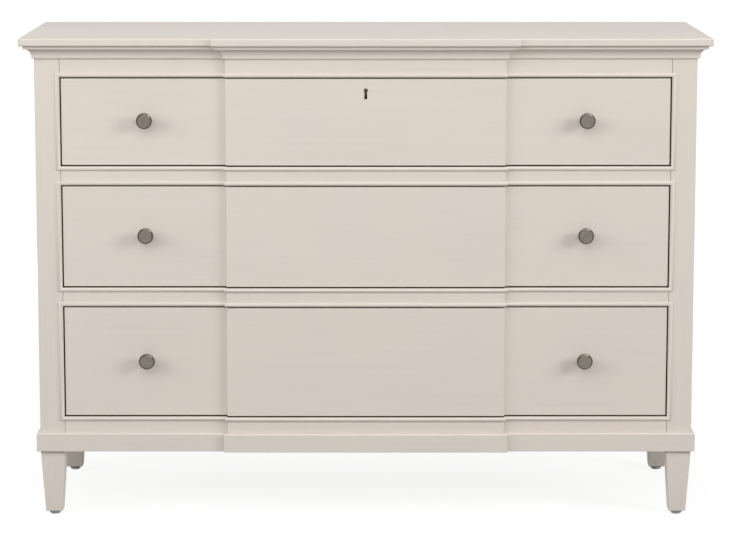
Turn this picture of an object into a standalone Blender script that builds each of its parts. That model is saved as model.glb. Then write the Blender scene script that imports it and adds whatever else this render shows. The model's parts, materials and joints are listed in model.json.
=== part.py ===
"""Breakfront dresser with three graduated drawers, made piece by piece.

Metres, +Z up. The origin is on the floor under the middle of the top, and the front faces -Y.
"""
import math

import bmesh
import bpy
from mathutils import Vector

# Clearances
FIT = 0.0003              # gap between pieces that touch or run on each other
DRAWER_GAP = 0.0025       # reveal round each drawer front
DRAWER_REAR_GAP = 0.016   # room between a closed drawer box and the back panel
CUT_MARGIN = 0.005        # how far a cutter runs past the face that it opens

# Case
CASE_WIDTH = 1.316
CASE_DEPTH = 0.440
POST_SIZE = 0.050
POST_EDGE = 0.0012        # eased arris of the posts
FOOT_SIZE = 0.034         # square foot of the tapered leg
LEG_HEIGHT = 0.127        # tapered length, foot to base band
SIDE_PANEL_THICKNESS = 0.018
TONGUE_THICKNESS = 0.006
TONGUE_LENGTH = 0.008
BACK_PANEL_THICKNESS = 0.006
RABBET_WIDTH = 0.012
RABBET_DEPTH = 0.012
BOTTOM_PANEL_THICKNESS = 0.012
BOTTOM_PANEL_RISE = 0.015  # above the lower edge of the base band
BOTTOM_PANEL_DADO = 0.004

# Front frame
BREAKFRONT_WIDTH = 0.558
BREAKFRONT_STEP = 0.010
RAIL_EXTRA_DEPTH = 0.002  # of the rails, behind the back of the drawer fronts
TENON_LENGTH = 0.018
TENON_THICKNESS = 0.010
TENON_SHOULDER = 0.006
BOTTOM_RAIL_SHOWN = 0.033  # between base band and lower opening
DIVIDER_HEIGHT = 0.038
TOP_RAIL_HEIGHT = 0.063
UPPER_OPENING = 0.178
MIDDLE_OPENING = 0.207
LOWER_OPENING = 0.226
BEAD_WIDTH = 0.0085
BEAD_PROJECTION = 0.004

# Top and mouldings
TOP_THICKNESS = 0.016
TOP_OVERHANG = 0.028      # at the sides and the front
TOP_OVERHANG_REAR = 0.005
TOP_EDGE = 0.003
CORNICE_HEIGHT = 0.0255
CORNICE_PROJECTION = 0.020
CORNICE_FILLET = 0.0065   # height of the upper fillet
CORNICE_SHELF = 0.002     # ledge between fillet and cove
CORNICE_FOOT = 0.0045     # projection at the lower edge
CORNICE_FOOT_HEIGHT = 0.002
BASE_HEIGHT = 0.038
BASE_PROJECTION = 0.007
BASE_ROUND = 0.0035

# Glides
GLIDE_HEIGHT = 0.008
GLIDE_RADIUS = 0.012
GLIDE_SOLE_RADIUS = 0.009
GLIDE_PIN_RADIUS = 0.0016
GLIDE_PIN_LENGTH = 0.012

# Drawers
FRONT_THICKNESS = 0.020   # at the wings
FRONT_EDGE = 0.0012
SIDE_THICKNESS = 0.012
SIDE_RISE = 0.016         # lower edge of the box above the opening's sill
SIDE_DROP = 0.030         # upper edge of the box below the opening's head
SIDE_DADO = 0.008         # depth of the side's seat in the front
DRAWER_BACK_THICKNESS = 0.012
DRAWER_BACK_INSET = 0.010
DRAWER_BACK_DADO = 0.004
DRAWER_BOTTOM_THICKNESS = 0.006
GROOVE_DEPTH = 0.006
GROOVE_RISE = 0.010       # groove above the lower edge of the box

# Ball-bearing slides
SLIDE_THICKNESS = 0.0127  # side clearance that a slide fills
SLIDE_HEIGHT = 0.035
SLIDE_WALL = 0.0014
SLIDE_CHANNEL_DEPTH = 0.0096
SLIDE_LIP = 0.003
SLIDE_SETBACK = 0.004     # behind the drawer front

# Knobs
KNOB_RADIUS = 0.016
KNOB_FACE_RADIUS = 0.0127
KNOB_PROJECTION = 0.027
KNOB_HEAD_DEPTH = 0.0085
KNOB_BEVEL = 0.0045       # how far the rim slopes back
KNOB_GROOVE = 0.0005      # half the width and depth of the groove round the face
KNOB_NECK_RADIUS = 0.0055
KNOB_NECK_HEIGHT = 0.009
KNOB_BASE_RADIUS = 0.0085
KNOB_BASE_HEIGHT = 0.0015
KNOB_STUD_RADIUS = 0.002
KNOB_STUD_COVER = 0.006   # wood left behind the end of the stud
KNOB_INSET = 0.003        # from the wing's middle towards the centre
KNOB_RISE = 0.004         # above the front's middle

# Lock
KEYHOLE_DROP = 0.023      # front's upper edge to the middle of the keyhole's head
KEYHOLE_RADIUS = 0.0042
KEYHOLE_LENGTH = 0.017    # middle of the head to the foot of the slot
KEYHOLE_NECK = 0.0050     # slot width at the head
KEYHOLE_FOOT = 0.0064     # slot width at the foot
KEY_PIN_RADIUS = 0.0014
KEY_PIN_RECESS = 0.006    # behind the drawer's face
LOCK_WIDTH = 0.050
LOCK_FOOT = 0.007         # lock case below the foot of the keyhole
LOCK_WALL = 0.003
LOCK_TOP_DROP = 0.001     # below the front's upper edge
BOLT_WIDTH = 0.018
BOLT_THICKNESS = 0.004
BOLT_KEY_GAP = 0.0033     # lower edge of the bolt above the head of the keyhole
BOLT_TOP_DROP = 0.0005    # below the top of the lock case
BOLT_CLEARANCE = 0.0008   # behind the top rail

# Facets
TURNED_STEPS = 32
COVE_STEPS = 12
BEAD_STEPS = 10
BASE_STEPS = 5
KEYHOLE_STEPS = 16
WELD = 0.00001
SMOOTH_ANGLE = math.radians(35)

# Stations derived from the sizes above
CASE_X = CASE_WIDTH / 2
OPENING_X = CASE_X - POST_SIZE
STEP_X = BREAKFRONT_WIDTH / 2
TOTAL_DEPTH = TOP_OVERHANG + BREAKFRONT_STEP + CASE_DEPTH + TOP_OVERHANG_REAR
FACE_Y = TOP_OVERHANG + BREAKFRONT_STEP - TOTAL_DEPTH / 2
CENTRE_Y = FACE_Y - BREAKFRONT_STEP
BACK_Y = FACE_Y + CASE_DEPTH
FRONT_BACK_Y = FACE_Y + FRONT_THICKNESS
RAIL_BACK_Y = FRONT_BACK_Y + RAIL_EXTRA_DEPTH
BACK_PANEL_Y = BACK_Y - RABBET_DEPTH + FIT
BOX_REAR_Y = BACK_PANEL_Y - DRAWER_REAR_GAP

BASE_BOTTOM = GLIDE_HEIGHT + LEG_HEIGHT
BASE_TOP = BASE_BOTTOM + BASE_HEIGHT
LOWER_SILL = BASE_TOP + BOTTOM_RAIL_SHOWN
LOWER_HEAD = LOWER_SILL + LOWER_OPENING
MIDDLE_SILL = LOWER_HEAD + DIVIDER_HEIGHT
MIDDLE_HEAD = MIDDLE_SILL + MIDDLE_OPENING
UPPER_SILL = MIDDLE_HEAD + DIVIDER_HEIGHT
UPPER_HEAD = UPPER_SILL + UPPER_OPENING
TOP_UNDERSIDE = UPPER_HEAD + TOP_RAIL_HEIGHT
CASE_TOP = TOP_UNDERSIDE - FIT
BOTTOM_PANEL_Z = BASE_BOTTOM + BOTTOM_PANEL_RISE

SIDE_OUTER_X = OPENING_X - SLIDE_THICKNESS
SIDE_INNER_X = SIDE_OUTER_X - SIDE_THICKNESS
FRONT_X = OPENING_X - DRAWER_GAP
KNOB_X = (STEP_X + FRONT_X) / 2 - KNOB_INSET
KNOB_STUD_LENGTH = FRONT_THICKNESS - KNOB_STUD_COVER
FRONT_TOP = UPPER_HEAD - DRAWER_GAP
LOCK_TOP = FRONT_TOP - LOCK_TOP_DROP
KEYHOLE_Z = FRONT_TOP - KEYHOLE_DROP
LOCK_BOTTOM = KEYHOLE_Z - KEYHOLE_LENGTH - LOCK_FOOT
BOLT_Y = RAIL_BACK_Y + BOLT_CLEARANCE
BOLT_TOP = LOCK_TOP - BOLT_TOP_DROP
BOLT_BOTTOM = KEYHOLE_Z + KEYHOLE_RADIUS + BOLT_KEY_GAP

OPENINGS = {
    "upper": (UPPER_SILL, UPPER_HEAD),
    "middle": (MIDDLE_SILL, MIDDLE_HEAD),
    "lower": (LOWER_SILL, LOWER_HEAD),
}
RAILS = {
    "top_rail": (UPPER_HEAD, CASE_TOP),
    "upper_divider_rail": (MIDDLE_HEAD, UPPER_SILL),
    "lower_divider_rail": (LOWER_HEAD, MIDDLE_SILL),
    "bottom_rail": (BASE_BOTTOM, LOWER_SILL),
}
SIDES = {"left": -1, "right": 1}
ENDS = {"front": FACE_Y + POST_SIZE / 2, "rear": BACK_Y - POST_SIZE / 2}


def clear_scene():
    for obj in list(bpy.data.objects):
        bpy.data.objects.remove(obj, do_unlink=True)


def make_collection(name):
    collection = bpy.data.collections.new(name)
    bpy.context.scene.collection.children.link(collection)
    return collection


def make_material(name, colour, roughness, metallic=0.0):
    material = bpy.data.materials.new(name)
    material.use_nodes = True
    shader = material.node_tree.nodes["Principled BSDF"]
    shader.inputs["Base Color"].default_value = (*colour, 1.0)
    shader.inputs["Roughness"].default_value = roughness
    shader.inputs["Metallic"].default_value = metallic
    return material


clear_scene()
PARTS = make_collection("dresser")
CUTTERS = make_collection("dresser_cutters")
PAINT = make_material("satin_cream_paint", (0.70, 0.65, 0.58), 0.45)
DRAWER_WOOD = make_material("drawer_wood", (0.62, 0.45, 0.28), 0.55)
PANEL_BOARD = make_material("panel_board", (0.55, 0.42, 0.28), 0.70)
SLIDE_STEEL = make_material("slide_steel", (0.55, 0.56, 0.57), 0.35, 1.0)
KNOB_METAL = make_material("knob_pewter", (0.21, 0.19, 0.16), 0.45, 1.0)
LOCK_METAL = make_material("lock_brass", (0.55, 0.42, 0.20), 0.40, 1.0)
GLIDE_NYLON = make_material("glide_nylon", (0.45, 0.45, 0.42), 0.60)


def body_empty(name, location):
    """Empty that the pieces of one rigid body hang on."""
    empty = bpy.data.objects.new(name, None)
    empty.location = location
    PARTS.objects.link(empty)
    return empty


def mesh_from(bm, name):
    """Turn a bmesh into a mesh with its faces pointing out and round runs shaded smooth."""
    bmesh.ops.recalc_face_normals(bm, faces=bm.faces)
    mesh = bpy.data.meshes.new(name)
    bm.to_mesh(mesh)
    bm.free()
    mesh.shade_smooth()
    mesh.set_sharp_from_angle(angle=SMOOTH_ANGLE)
    return mesh


def box_mesh(name, size):
    bm = bmesh.new()
    bmesh.ops.create_cube(bm, size=1.0)
    bmesh.ops.scale(bm, vec=size, verts=bm.verts)
    return mesh_from(bm, name)


def prism_mesh(name, outline, thickness):
    """Closed outline in local XY, thickened equally to both sides along local Z."""
    curve = bpy.data.curves.new(name, "CURVE")
    curve.dimensions = "2D"
    curve.fill_mode = "BOTH"
    curve.extrude = thickness / 2
    spline = curve.splines.new("POLY")
    spline.points.add(len(outline) - 1)
    for point, (x, y) in zip(spline.points, outline):
        point.co = (x, y, 0.0, 1.0)
    spline.use_cyclic_u = True
    holder = bpy.data.objects.new(name, curve)
    CUTTERS.objects.link(holder)
    evaluated = holder.evaluated_get(bpy.context.evaluated_depsgraph_get())
    capped = bpy.data.meshes.new_from_object(evaluated)
    bpy.data.objects.remove(holder)
    bm = bmesh.new()
    bm.from_mesh(capped)
    bpy.data.meshes.remove(capped)
    bmesh.ops.remove_doubles(bm, verts=bm.verts, dist=WELD)
    for level in (-thickness / 2, thickness / 2):
        cap = [face for face in bm.faces if all(abs(vert.co.z - level) < WELD for vert in face.verts)]
        bmesh.ops.dissolve_faces(bm, faces=cap)
    return mesh_from(bm, name)


def swept_mesh(name, profile, stations, closed=False):
    """Profile carried from station to station, mitred where the path turns.

    A station is an origin and the two directions, stretched to the mitre, of the profile's
    coordinates.
    """
    bm = bmesh.new()
    rings = []
    for origin, across, along in stations:
        ring = [bm.verts.new(Vector(origin) + u * Vector(across) + v * Vector(along)) for u, v in profile]
        rings.append(ring)
    following = rings[1:] + rings[:1] if closed else rings[1:]
    for near, far in zip(rings, following):
        for corner in range(len(profile)):
            after = (corner + 1) % len(profile)
            bm.faces.new((near[corner], near[after], far[after], far[corner]))
    if not closed:
        bm.faces.new(rings[0])
        bm.faces.new(rings[-1])
    return mesh_from(bm, name)


def add_piece(name, mesh, material, body, location, rotation=(0.0, 0.0, 0.0)):
    """Place a mesh in the world as one named piece of a body."""
    mesh.materials.append(material)
    piece = bpy.data.objects.new(name, mesh)
    piece.parent = body
    piece.location = Vector(location) - body.location
    piece.rotation_euler = rotation
    PARTS.objects.link(piece)
    return piece


def add_block(name, low, high, material, body):
    """Rectangular piece between two world corners."""
    low, high = Vector(low), Vector(high)
    return add_piece(name, box_mesh(name, high - low), material, body, (low + high) / 2)


def add_plate(name, outline, bottom, top, material, body):
    """Plan outline in world XY, raised between two heights."""
    mesh = prism_mesh(name, outline, top - bottom)
    return add_piece(name, mesh, material, body, (0.0, 0.0, (bottom + top) / 2))


def add_turned(name, profile, material, body, location, rotation=(0.0, 0.0, 0.0)):
    """Turned piece from (radius, height) points that run from its top down its outer side."""
    bm = bmesh.new()
    verts = [bm.verts.new((radius, 0.0, height)) for radius, height in profile]
    for start, end in zip(verts, verts[1:]):
        bm.edges.new((start, end))
    mesh = bpy.data.meshes.new(name)
    bm.to_mesh(mesh)
    bm.free()
    piece = add_piece(name, mesh, material, body, location, rotation)
    screw = piece.modifiers.new("turn", "SCREW")
    screw.steps = TURNED_STEPS
    screw.render_steps = TURNED_STEPS
    screw.use_merge_vertices = True
    screw.merge_threshold = WELD
    screw.use_smooth_shade = True
    return piece


def ease_edges(piece, width, segments=2):
    """Round the outward arrises of a piece and leave its inside corners sharp."""
    bm = bmesh.new()
    bm.from_mesh(piece.data)
    weight = bm.edges.layers.float.new("bevel_weight_edge")
    for edge in bm.edges:
        edge[weight] = 1.0 if edge.calc_face_angle_signed() > SMOOTH_ANGLE else 0.0
    bm.to_mesh(piece.data)
    bm.free()
    bevel = piece.modifiers.new("eased_edges", "BEVEL")
    bevel.width = width
    bevel.segments = segments
    bevel.limit_method = "WEIGHT"


def add_boolean(piece, label, mesh, location, rotation=(0.0, 0.0, 0.0), operation="DIFFERENCE"):
    cutter = bpy.data.objects.new(f"{piece.name}_{label}", mesh)
    cutter.location = location
    cutter.rotation_euler = rotation
    cutter.hide_render = True
    cutter.display_type = "WIRE"
    CUTTERS.objects.link(cutter)
    boolean = piece.modifiers.new(label, "BOOLEAN")
    boolean.operation = operation
    boolean.object = cutter
    boolean.solver = "EXACT"


def cut_block(piece, label, low, high):
    """Cut the box between two world corners out of a piece."""
    low, high = Vector(low), Vector(high)
    add_boolean(piece, label, box_mesh(label, high - low), (low + high) / 2)


def rod_mesh(name, radius, length):
    bm = bmesh.new()
    bmesh.ops.create_cone(
        bm, cap_ends=True, segments=KEYHOLE_STEPS, radius1=radius, radius2=radius, depth=length
    )
    return mesh_from(bm, name)


def mirrored_span(side, inner, outer):
    """Lowest and highest x of a span that is measured outwards on one side."""
    return sorted((side * inner, side * outer))


def breakfront_corners():
    """Plan corners where the front steps out and back, from left to right, with their side."""
    return [
        (-STEP_X, FACE_Y, -1),
        (-STEP_X, CENTRE_Y, -1),
        (STEP_X, CENTRE_Y, 1),
        (STEP_X, FACE_Y, 1),
    ]


def breakfront_outline(half_width, back_y, overhang=0.0):
    """Plan outline with the stepped front, its front edges pushed out by an overhang."""
    front = [(x + side * overhang, y - overhang) for x, y, side in breakfront_corners()]
    wing_y = FACE_Y - overhang
    return [
        (-half_width, back_y),
        (-half_width, wing_y),
        *front,
        (half_width, wing_y),
        (half_width, back_y),
    ]


def make_top(case):
    outline = breakfront_outline(CASE_X + TOP_OVERHANG, BACK_Y + TOP_OVERHANG_REAR, TOP_OVERHANG)
    top = add_plate("top_panel", outline, TOP_UNDERSIDE, TOP_UNDERSIDE + TOP_THICKNESS, PAINT, case)
    ease_edges(top, TOP_EDGE, segments=3)


def front_stations(height):
    """Stations of a moulding along the stepped front, mitred at both case corners."""
    corners = [(-CASE_X, FACE_Y, -1), *breakfront_corners(), (CASE_X, FACE_Y, 1)]
    return [((x, y, height), (side, -1.0, 0.0), (0.0, 0.0, 1.0)) for x, y, side in corners]


def side_station(side, y, height):
    """Square end of a moulding on a case side."""
    return ((side * CASE_X, y, height), (side, 0.0, 0.0), (0.0, 0.0, 1.0))


def cornice_profile():
    """Projection and height, from the underside of the top: fillet, ledge, cove and foot."""
    cove_u = CORNICE_PROJECTION - CORNICE_SHELF
    cove_foot = CORNICE_FOOT_HEIGHT - CORNICE_HEIGHT
    cove_width = cove_u - CORNICE_FOOT
    cove_rise = -CORNICE_FILLET - cove_foot
    angles = [math.pi / 2 * step / COVE_STEPS for step in range(COVE_STEPS + 1)]
    cove = [(cove_u - cove_width * math.sin(a), cove_foot + cove_rise * math.cos(a)) for a in angles]
    return [
        (FIT, -FIT),
        (CORNICE_PROJECTION, -FIT),
        (CORNICE_PROJECTION, -CORNICE_FILLET),
        *cove,
        (CORNICE_FOOT, -CORNICE_HEIGHT),
        (FIT, -CORNICE_HEIGHT),
    ]


def make_cornice(case):
    profile = cornice_profile()
    origin = (0.0, 0.0, 0.0)
    front = swept_mesh("cornice_front", profile, front_stations(TOP_UNDERSIDE))
    add_piece("cornice_front", front, PAINT, case, origin)
    mitre_gap = FIT * math.sqrt(2)
    for name, side in SIDES.items():
        corner = ((side * CASE_X, FACE_Y + mitre_gap, TOP_UNDERSIDE), (side, -1.0, 0.0), (0.0, 0.0, 1.0))
        stations = [corner, side_station(side, BACK_Y, TOP_UNDERSIDE)]
        mesh = swept_mesh(f"cornice_{name}", profile, stations)
        add_piece(f"cornice_{name}", mesh, PAINT, case, origin)


def base_profile():
    """Plain band whose upper edge is rounded over."""
    centre_u = BASE_PROJECTION - BASE_ROUND
    centre_v = BASE_HEIGHT - BASE_ROUND
    angles = [math.pi / 2 * step / BASE_STEPS for step in range(BASE_STEPS + 1)]
    rounding = [(centre_u + BASE_ROUND * math.cos(a), centre_v + BASE_ROUND * math.sin(a)) for a in angles]
    return [(FIT, 0.0), (BASE_PROJECTION, 0.0), *rounding, (FIT, BASE_HEIGHT)]


def make_base_moulding(case):
    stations = [
        side_station(-1, BACK_Y, BASE_BOTTOM),
        *front_stations(BASE_BOTTOM),
        side_station(1, BACK_Y, BASE_BOTTOM),
    ]
    mesh = swept_mesh("base_moulding", base_profile(), stations)
    add_piece("base_moulding", mesh, PAINT, case, (0.0, 0.0, 0.0))


def post_mesh(name):
    """Square post with its origin at the foot, tapered to the foot below the base band."""
    length = CASE_TOP - GLIDE_HEIGHT
    bm = bmesh.new()
    bmesh.ops.create_cube(bm, size=1.0)
    bmesh.ops.scale(bm, vec=(POST_SIZE, POST_SIZE, length), verts=bm.verts)
    bmesh.ops.translate(bm, vec=(0.0, 0.0, length / 2), verts=bm.verts)
    everything = bm.verts[:] + bm.edges[:] + bm.faces[:]
    bmesh.ops.bisect_plane(bm, geom=everything, plane_co=(0.0, 0.0, LEG_HEIGHT), plane_no=(0.0, 0.0, 1.0))
    foot = [vert for vert in bm.verts if vert.co.z < LEG_HEIGHT - WELD]
    taper = FOOT_SIZE / POST_SIZE
    bmesh.ops.scale(bm, vec=(taper, taper, 1.0), verts=foot)
    return mesh_from(bm, name)


def cut_mortises(post, side):
    """Seats of the rail tenons; the top one is open at the end of the post."""
    x_low, x_high = mirrored_span(side, OPENING_X - CUT_MARGIN, OPENING_X + TENON_LENGTH + FIT)
    y_low = FACE_Y + TENON_SHOULDER - FIT
    y_high = FACE_Y + TENON_SHOULDER + TENON_THICKNESS + FIT
    for rail, (bottom, top) in RAILS.items():
        head = CASE_TOP + CUT_MARGIN if rail == "top_rail" else top + FIT
        cut_block(post, f"{rail}_mortise", (x_low, y_low, bottom - FIT), (x_high, y_high, head))


def tongue_span(side):
    """Lowest and highest x of a side panel's tongue."""
    inset = (SIDE_PANEL_THICKNESS - TONGUE_THICKNESS) / 2
    return mirrored_span(side, CASE_X - inset - TONGUE_THICKNESS, CASE_X - inset)


def cut_panel_groove(post, end, side):
    x_low, x_high = tongue_span(side)
    if end == "front":
        mouth = FACE_Y + POST_SIZE
        y_low, y_high = mouth - TONGUE_LENGTH - FIT, mouth + CUT_MARGIN
    else:
        mouth = BACK_Y - POST_SIZE
        y_low, y_high = mouth - CUT_MARGIN, mouth + TONGUE_LENGTH + FIT
    low = (x_low - FIT, y_low, BASE_BOTTOM - FIT)
    high = (x_high + FIT, y_high, CASE_TOP + CUT_MARGIN)
    cut_block(post, "panel_groove", low, high)


def cut_back_rabbet(post, side):
    x_low, x_high = mirrored_span(side, OPENING_X - CUT_MARGIN, OPENING_X + RABBET_WIDTH)
    low = (x_low, BACK_Y - RABBET_DEPTH, BASE_BOTTOM - FIT)
    high = (x_high, BACK_Y + CUT_MARGIN, CASE_TOP + CUT_MARGIN)
    cut_block(post, "back_rabbet", low, high)


def make_posts(case):
    for end, y in ENDS.items():
        for name, side in SIDES.items():
            x = side * (CASE_X - POST_SIZE / 2)
            label = f"post_{end}_{name}"
            post = add_piece(label, post_mesh(label), PAINT, case, (x, y, GLIDE_HEIGHT))
            ease_edges(post, POST_EDGE)
            cut_panel_groove(post, end, side)
            if end == "front":
                cut_mortises(post, side)
            else:
                cut_back_rabbet(post, side)
            hole = rod_mesh("glide_hole", GLIDE_PIN_RADIUS + FIT, 2 * (GLIDE_PIN_LENGTH + FIT))
            add_boolean(post, "glide_hole", hole, (x, y, GLIDE_HEIGHT))


def glide_profile():
    """Nail-on glide: pin, flat top, rounded side and flat sole."""
    top = GLIDE_HEIGHT - FIT
    shoulder = GLIDE_HEIGHT / 2
    return [
        (0.0, top + GLIDE_PIN_LENGTH),
        (GLIDE_PIN_RADIUS, top + GLIDE_PIN_LENGTH),
        (GLIDE_PIN_RADIUS, top),
        (GLIDE_RADIUS, top),
        (GLIDE_RADIUS, shoulder),
        (GLIDE_SOLE_RADIUS, 0.0),
        (0.0, 0.0),
    ]


def make_glides(case):
    for end, y in ENDS.items():
        for name, side in SIDES.items():
            x = side * (CASE_X - POST_SIZE / 2)
            add_turned(f"glide_{end}_{name}", glide_profile(), GLIDE_NYLON, case, (x, y, 0.0))


def rail_outline():
    """Plan of a front rail with a tenon at each end."""
    tenon_front = FACE_Y + TENON_SHOULDER
    tenon_back = tenon_front + TENON_THICKNESS
    shoulder_x = OPENING_X - FIT
    tenon_x = OPENING_X + TENON_LENGTH
    right = [
        (STEP_X, CENTRE_Y),
        (STEP_X, FACE_Y),
        (shoulder_x, FACE_Y),
        (shoulder_x, tenon_front),
        (tenon_x, tenon_front),
        (tenon_x, tenon_back),
        (shoulder_x, tenon_back),
        (shoulder_x, RAIL_BACK_Y),
    ]
    return right + [(-x, y) for x, y in reversed(right)]


def make_rails(case):
    for name, (bottom, top) in RAILS.items():
        add_plate(name, rail_outline(), bottom, top, PAINT, case)


def bead_stations(sill, head):
    """Closed path round an opening, stepping forward with the breakfront above and below it."""
    stations = []
    for height, rise, direction in ((sill, -1.0, 1), (head, 1.0, -1)):
        corners = breakfront_corners()[::direction]
        first, last = -direction, direction
        across = (first, 0.0, rise)
        stations.append(((first * OPENING_X, FACE_Y, height), across, (0.0, -1.0, 0.0)))
        for x, y, side in corners:
            stations.append(((x, y, height), (0.0, 0.0, rise), (side, -1.0, 0.0)))
        across = (last, 0.0, rise)
        stations.append(((last * OPENING_X, FACE_Y, height), across, (0.0, -1.0, 0.0)))
    return stations


def bead_profile():
    """Half-round strip, its flat back on the frame."""
    height = BEAD_PROJECTION - FIT
    angles = [math.pi * step / BEAD_STEPS for step in range(BEAD_STEPS + 1)]
    return [(BEAD_WIDTH * (1 - math.cos(a)) / 2, FIT + height * math.sin(a)) for a in angles]


def make_bead_frames(case):
    for name, (sill, head) in OPENINGS.items():
        mesh = swept_mesh(f"{name}_bead_frame", bead_profile(), bead_stations(sill, head), closed=True)
        add_piece(f"{name}_bead_frame", mesh, PAINT, case, (0.0, 0.0, 0.0))


def make_side_panels(case):
    front_y = FACE_Y + POST_SIZE
    rear_y = BACK_Y - POST_SIZE
    for name, side in SIDES.items():
        x_low, x_high = mirrored_span(side, CASE_X - SIDE_PANEL_THICKNESS, CASE_X)
        tongue_low, tongue_high = tongue_span(side)
        outline = [
            (x_low, front_y + FIT),
            (tongue_low, front_y + FIT),
            (tongue_low, front_y - TONGUE_LENGTH),
            (tongue_high, front_y - TONGUE_LENGTH),
            (tongue_high, front_y + FIT),
            (x_high, front_y + FIT),
            (x_high, rear_y - FIT),
            (tongue_high, rear_y - FIT),
            (tongue_high, rear_y + TONGUE_LENGTH),
            (tongue_low, rear_y + TONGUE_LENGTH),
            (tongue_low, rear_y - FIT),
            (x_low, rear_y - FIT),
        ]
        panel = add_plate(f"side_panel_{name}", outline, BASE_BOTTOM, CASE_TOP, PAINT, case)
        inner_x = CASE_X - SIDE_PANEL_THICKNESS
        dado_low, dado_high = mirrored_span(side, inner_x - CUT_MARGIN, inner_x + BOTTOM_PANEL_DADO)
        low = (dado_low, front_y - CUT_MARGIN, BOTTOM_PANEL_Z - FIT)
        high = (dado_high, rear_y + CUT_MARGIN, BOTTOM_PANEL_Z + BOTTOM_PANEL_THICKNESS + FIT)
        cut_block(panel, "bottom_dado", low, high)


def make_back_panel(case):
    half_width = OPENING_X + RABBET_WIDTH - FIT
    low = (-half_width, BACK_PANEL_Y, BASE_BOTTOM)
    high = (half_width, BACK_PANEL_Y + BACK_PANEL_THICKNESS, CASE_TOP)
    add_block("back_panel", low, high, PANEL_BOARD, case)


def make_bottom_panel(case):
    """Case bottom, notched round the posts and let into the side panels."""
    between_posts = OPENING_X - FIT
    in_dado = CASE_X - SIDE_PANEL_THICKNESS + BOTTOM_PANEL_DADO - FIT
    right = [
        (between_posts, RAIL_BACK_Y + FIT),
        (between_posts, FACE_Y + POST_SIZE + FIT),
        (in_dado, FACE_Y + POST_SIZE + FIT),
        (in_dado, BACK_Y - POST_SIZE - FIT),
        (between_posts, BACK_Y - POST_SIZE - FIT),
        (between_posts, BACK_PANEL_Y - FIT),
    ]
    outline = right + [(-x, y) for x, y in reversed(right)]
    top = BOTTOM_PANEL_Z + BOTTOM_PANEL_THICKNESS
    add_plate("bottom_panel", outline, BOTTOM_PANEL_Z, top, PANEL_BOARD, case)


def case_slide_outline():
    """C channel with lips; x from the post towards the drawer, y up from the slide's middle."""
    half = SLIDE_HEIGHT / 2
    web = FIT + SLIDE_WALL
    mouth = SLIDE_CHANNEL_DEPTH
    lip_x = mouth - SLIDE_WALL
    upper = [
        (web, half - SLIDE_WALL),
        (lip_x, half - SLIDE_WALL),
        (lip_x, half - SLIDE_LIP),
        (mouth, half - SLIDE_LIP),
        (mouth, half),
        (FIT, half),
    ]
    return upper + [(x, -y) for x, y in reversed(upper)]


def drawer_slide_outline():
    """Channel on the drawer side whose ball races run inside the case channel."""
    web_back = SLIDE_THICKNESS - FIT
    web_front = web_back - SLIDE_WALL
    race_inner = FIT + SLIDE_WALL + FIT
    race_outer = SLIDE_CHANNEL_DEPTH - SLIDE_WALL - FIT
    race_top = SLIDE_HEIGHT / 2 - SLIDE_WALL - FIT
    flange_top = SLIDE_HEIGHT / 2 - SLIDE_LIP - FIT
    flange_under = flange_top - SLIDE_WALL
    upper = [
        (web_front, flange_under),
        (race_inner, flange_under),
        (race_inner, race_top),
        (race_outer, race_top),
        (race_outer, flange_top),
        (web_back, flange_top),
    ]
    return upper + [(x, -y) for x, y in reversed(upper)]


def add_slide(name, outline, side, middle, body):
    """Slide member along Y, measured from the inner face of the posts on one side."""
    start = FRONT_BACK_Y + SLIDE_SETBACK
    placed = [(side * (OPENING_X - x), y) for x, y in outline]
    mesh = prism_mesh(name, placed, BOX_REAR_Y - start)
    location = (0.0, (start + BOX_REAR_Y) / 2, middle)
    add_piece(name, mesh, SLIDE_STEEL, body, location, (math.pi / 2, 0.0, 0.0))


def knob_profile():
    """Radius and height from the drawer face: flat face, groove, sloping rim, neck and stud."""
    face = KNOB_PROJECTION
    rim_front = KNOB_FACE_RADIUS + 2 * KNOB_GROOVE
    back = KNOB_PROJECTION - KNOB_HEAD_DEPTH
    rim_edge = face - KNOB_GROOVE - KNOB_BEVEL
    return [
        (0.0, face),
        (KNOB_FACE_RADIUS, face),
        (KNOB_FACE_RADIUS + KNOB_GROOVE, face - 2 * KNOB_GROOVE),
        (rim_front, face - KNOB_GROOVE),
        ((rim_front + KNOB_RADIUS) / 2, face - KNOB_GROOVE - KNOB_BEVEL / 3),
        (KNOB_RADIUS, rim_edge),
        (KNOB_RADIUS, (rim_edge + back) / 2),
        ((KNOB_RADIUS + KNOB_FACE_RADIUS) / 2, back),
        ((KNOB_FACE_RADIUS + KNOB_NECK_RADIUS) / 2, back - KNOB_GROOVE),
        (KNOB_NECK_RADIUS, KNOB_NECK_HEIGHT),
        ((KNOB_NECK_RADIUS + KNOB_BASE_RADIUS) / 2, (KNOB_NECK_HEIGHT + KNOB_BASE_HEIGHT) / 3),
        (KNOB_BASE_RADIUS, KNOB_BASE_HEIGHT),
        (KNOB_BASE_RADIUS, FIT),
        (KNOB_STUD_RADIUS, FIT),
        (KNOB_STUD_RADIUS, -KNOB_STUD_LENGTH),
        (0.0, -KNOB_STUD_LENGTH),
    ]


def keyhole_mesh(name, length):
    """Round head over a slot that widens to its foot; x across, y up from the head's middle."""
    start = math.asin(KEYHOLE_NECK / 2 / KEYHOLE_RADIUS)
    sweep = 2 * (math.pi - start)
    angles = [start + sweep * step / KEYHOLE_STEPS for step in range(KEYHOLE_STEPS + 1)]
    head = [(KEYHOLE_RADIUS * math.sin(a), -KEYHOLE_RADIUS * math.cos(a)) for a in angles]
    foot = [(-KEYHOLE_FOOT / 2, -KEYHOLE_LENGTH), (KEYHOLE_FOOT / 2, -KEYHOLE_LENGTH)]
    return prism_mesh(name, head + foot, length)


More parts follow.
